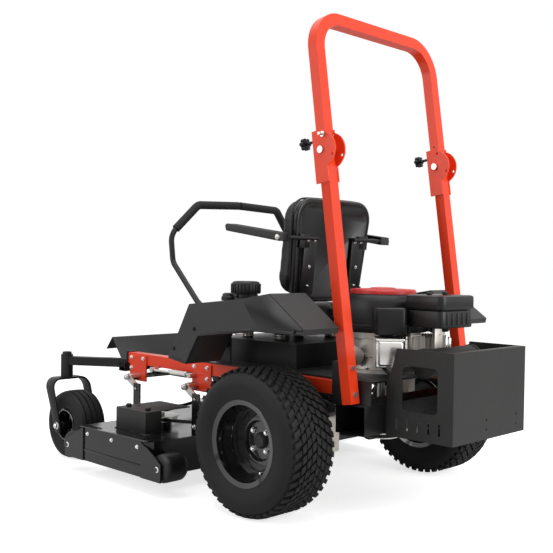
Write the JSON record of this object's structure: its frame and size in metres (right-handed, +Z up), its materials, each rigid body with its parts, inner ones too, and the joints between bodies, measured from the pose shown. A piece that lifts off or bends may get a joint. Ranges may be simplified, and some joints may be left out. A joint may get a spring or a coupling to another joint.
{
  "type": "zero turn mower",
  "caption": "Ride-on zero turn mower with a mid deck, folding roll bar, steering levers, caster front wheels and a rear engine in an open guard.",
  "frame": {"origin": "on the ground on the machine's centreline, midway between the front of the caster wheels and the rear face of the engine guard", "axes": "+Z up, -Y the way the mower drives, +X the driver's left"},
  "size_m": [1.7278, 2.17, 1.9843],
  "materials": {
    "red_paint": "gloss powder coat",
    "black_paint": "satin textured powder coat",
    "zinc": "bright zinc plate",
    "black_plastic": "matte",
    "red_plastic": "gloss",
    "engine_aluminium": "as cast",
    "filter_paint": "gloss",
    "seat_vinyl": "coated, over foam",
    "tyre": "matte",
    "rubber": "matte"
  },
  "bodies": {
    "chassis": {"frame_rails": "red_paint", "rops_posts": "red_paint", "front_beam": "black_paint", "rear_frame": "black_paint", "engine_guard": "black_paint", "foot_pan": "black_paint", "platform": "black_paint", "muffler": "black_paint", "frame_bolts": "zinc", "fender_left": "black_plastic", "fender_right": "black_plastic", "air_cleaner": "black_plastic", "blower_housing": "black_plastic", "fan_screen": "red_plastic", "engine_block": "engine_aluminium", "transaxles": "engine_aluminium", "oil_filter": "filter_paint", "fuel_line": "rubber"},
    "rops_hoop": {"rops_hoop": "red_paint"},
    "rops_pin_left": {"rops_pin_left": "zinc"},
    "rops_pin_right": {"rops_pin_right": "zinc"},
    "fuel_cap": {"fuel_cap": "black_plastic"},
    "seat": {"seat_frame": "black_paint", "seat_cushion": "seat_vinyl", "seat_back": "seat_vinyl"},
    "armrest_left": {"armrest_left": "seat_vinyl"},
    "armrest_right": {"armrest_right": "seat_vinyl"},
    "lever_base_left": {"lever_base_left": "black_paint"},
    "lever_base_right": {"lever_base_right": "black_paint"},
    "lap_bar_left": {"lap_bar_left": "black_paint", "grip_left": "seat_vinyl"},
    "lap_bar_right": {"lap_bar_right": "black_paint", "grip_right": "seat_vinyl"},
    "throttle": {"throttle_lever": "black_plastic"},
    "key": {"ignition_key": "black_plastic"},
    "pto": {"pto_knob": "black_plastic"},
    "deck": {"deck_shell": "black_paint", "belt_covers": "black_plastic", "drive_belt": "rubber"},
    "lift_front": {"lift_shaft_front": "zinc"},
    "lift_rear": {"lift_shaft_rear": "zinc"},
    "spindle_left": {"spindle_left": "zinc"},
    "spindle_centre": {"spindle_centre": "zinc"},
    "spindle_right": {"spindle_right": "zinc"},
    "crank": {"engine_pulley": "zinc"},
    "roller_front_left": {"roller_front_left": "rubber"},
    "roller_front_right": {"roller_front_right": "rubber"},
    "roller_rear_left": {"roller_rear_left": "rubber"},
    "roller_rear_right": {"roller_rear_right": "rubber"},
    "chute": {"discharge_chute": "black_paint"},
    "rear_wheel_left": {"rear_tyre_left": "tyre", "rear_rim_left": "black_paint"},
    "rear_wheel_right": {"rear_tyre_right": "tyre", "rear_rim_right": "black_paint"},
    "caster_left": {"caster_fork_left": "black_paint"},
    "caster_right": {"caster_fork_right": "black_paint"},
    "caster_wheel_left": {"caster_tyre_left": "tyre", "caster_hub_left": "black_paint"},
    "caster_wheel_right": {"caster_tyre_right": "tyre", "caster_hub_right": "black_paint"}
  },
  "joints": [
    {"name": "rops_fold", "type": "hinge", "parent": "chassis", "child": "rops_hoop", "pos_m": [0, 0.57, 1.418], "axis": [-1, 0, 0], "range_deg": [0, 100]},
    {"name": "rops_pin_left_pull", "type": "slide", "parent": "chassis", "child": "rops_pin_left", "axis": [1, 0, 0], "range_m": [0, 0.05]},
    {"name": "rops_pin_right_pull", "type": "slide", "parent": "chassis", "child": "rops_pin_right", "axis": [-1, 0, 0], "range_m": [0, 0.05]},
    {"name": "fuel_cap_turn", "type": "hinge", "parent": "chassis", "child": "fuel_cap", "pos_m": [0.5, 0.249, 0.88], "axis": [0, 0, 1], "range_deg": [0, 330]},
    {"name": "seat_tilt", "type": "hinge", "parent": "chassis", "child": "seat", "pos_m": [0, -0.196, 0.652], "axis": [1, 0, 0], "range_deg": [0, 22]},
    {"name": "armrest_left_flip", "type": "hinge", "parent": "seat", "child": "armrest_left", "pos_m": [0.34, 0.29436, 1.085], "axis": [-1, 0, 0], "range_deg": [0, 80]},
    {"name": "armrest_right_flip", "type": "hinge", "parent": "seat", "child": "armrest_right", "pos_m": [-0.34, 0.29436, 1.085], "axis": [-1, 0, 0], "range_deg": [0, 80]},
    {"name": "lever_left_drive", "type": "hinge", "parent": "chassis", "child": "lever_base_left", "pos_m": [0.375, -0.04, 0.62], "axis": [1, 0, 0], "range_deg": [-8, 14]},
    {"name": "lap_bar_left_swing", "type": "hinge", "parent": "lever_base_left", "child": "lap_bar_left", "pos_m": [0.375, -0.04, 0.655], "axis": [0, 1, 0], "range_deg": [0, 30]},
    {"name": "lever_right_drive", "type": "hinge", "parent": "chassis", "child": "lever_base_right", "pos_m": [-0.375, -0.04, 0.62], "axis": [1, 0, 0], "range_deg": [-8, 14]},
    {"name": "lap_bar_right_swing", "type": "hinge", "parent": "lever_base_right", "child": "lap_bar_right", "pos_m": [-0.375, -0.04, 0.655], "axis": [0, -1, 0], "range_deg": [0, 30]},
    {"name": "throttle_move", "type": "hinge", "parent": "chassis", "child": "throttle", "pos_m": [-0.364, 0.13, 0.7995], "axis": [1, 0, 0], "range_deg": [-30, 30]},
    {"name": "key_turn", "type": "hinge", "parent": "chassis", "child": "key", "pos_m": [-0.364, 0.23, 0.795], "axis": [0, 0, 1], "range_deg": [0, 90]},
    {"name": "pto_pull", "type": "slide", "parent": "chassis", "child": "pto", "axis": [0, 0, 1], "range_m": [0, 0.012]},
    {"name": "deck_lift", "type": "slide", "parent": "chassis", "child": "deck", "axis": [0, 0, 1], "range_m": [0, 0.09], "deforming": ["drive_belt"]},
    {"name": "lift_shaft_front_turn", "type": "hinge", "parent": "chassis", "child": "lift_front", "pos_m": [0, -0.62, 0.418], "axis": [1, 0, 0], "range_deg": [0, 60.5]},
    {"name": "lift_shaft_rear_turn", "type": "hinge", "parent": "chassis", "child": "lift_rear", "pos_m": [0, -0.189, 0.418], "axis": [1, 0, 0], "range_deg": [0, 60.5]},
    {"name": "spindle_left_spin", "type": "hinge", "parent": "deck", "child": "spindle_left", "pos_m": [0.462, -0.335, 0.2], "axis": [0, 0, 1], "continuous": true},
    {"name": "spindle_centre_spin", "type": "hinge", "parent": "deck", "child": "spindle_centre", "pos_m": [0, -0.517, 0.2], "axis": [0, 0, 1], "continuous": true},
    {"name": "spindle_right_spin", "type": "hinge", "parent": "deck", "child": "spindle_right", "pos_m": [-0.462, -0.335, 0.2], "axis": [0, 0, 1], "continuous": true},
    {"name": "crank_spin", "type": "hinge", "parent": "chassis", "child": "crank", "pos_m": [0, 0.561, 0.3], "axis": [0, 0, 1], "continuous": true},
    {"name": "roller_front_left_spin", "type": "hinge", "parent": "deck", "child": "roller_front_left", "pos_m": [0.674, -0.676, 0.125], "axis": [1, 0, 0], "continuous": true},
    {"name": "roller_front_right_spin", "type": "hinge", "parent": "deck", "child": "roller_front_right", "pos_m": [-0.674, -0.676, 0.125], "axis": [1, 0, 0], "continuous": true},
    {"name": "roller_rear_left_spin", "type": "hinge", "parent": "deck", "child": "roller_rear_left", "pos_m": [0.674, -0.008, 0.125], "axis": [1, 0, 0], "continuous": true},
    {"name": "roller_rear_right_spin", "type": "hinge", "parent": "deck", "child": "roller_rear_right", "pos_m": [-0.674, -0.008, 0.125], "axis": [1, 0, 0], "continuous": true},
    {"name": "chute_raise", "type": "hinge", "parent": "deck", "child": "chute", "pos_m": [-0.748, -0.395, 0.212], "axis": [0, 1, 0], "range_deg": [0, 100]},
    {"name": "rear_wheel_left_spin", "type": "hinge", "parent": "chassis", "child": "rear_wheel_left", "pos_m": [0.562, 0.42, 0.288], "axis": [1, 0, 0], "continuous": true},
    {"name": "rear_wheel_right_spin", "type": "hinge", "parent": "chassis", "child": "rear_wheel_right", "pos_m": [-0.562, 0.42, 0.288], "axis": [1, 0, 0], "continuous": true},
    {"name": "caster_left_swivel", "type": "hinge", "parent": "chassis", "child": "caster_left", "pos_m": [0.539, -1.012, 0.445], "axis": [0, 0, 1], "continuous": true},
    {"name": "caster_wheel_left_spin", "type": "hinge", "parent": "caster_left", "child": "caster_wheel_left", "pos_m": [0.539, -0.92, 0.165], "axis": [1, 0, 0], "continuous": true},
    {"name": "caster_right_swivel", "type": "hinge", "parent": "chassis", "child": "caster_right", "pos_m": [-0.539, -1.012, 0.445], "axis": [0, 0, 1], "continuous": true},
    {"name": "caster_wheel_right_spin", "type": "hinge", "parent": "caster_right", "child": "caster_wheel_right", "pos_m": [-0.539, -0.92, 0.165], "axis": [1, 0, 0], "continuous": true}
  ],
  "couplings": [
    {"joint": "lift_shaft_front_turn", "follows": "deck_lift", "rad_per_m": 11.636},
    {"joint": "lift_shaft_rear_turn", "follows": "deck_lift", "rad_per_m": 11.636},
    {"joint": "spindle_left_spin", "follows": "spindle_centre_spin", "ratio": 1},
    {"joint": "spindle_right_spin", "follows": "spindle_centre_spin", "ratio": 1},
    {"joint": "crank_spin", "follows": "spindle_centre_spin", "ratio": 1}
  ]
}
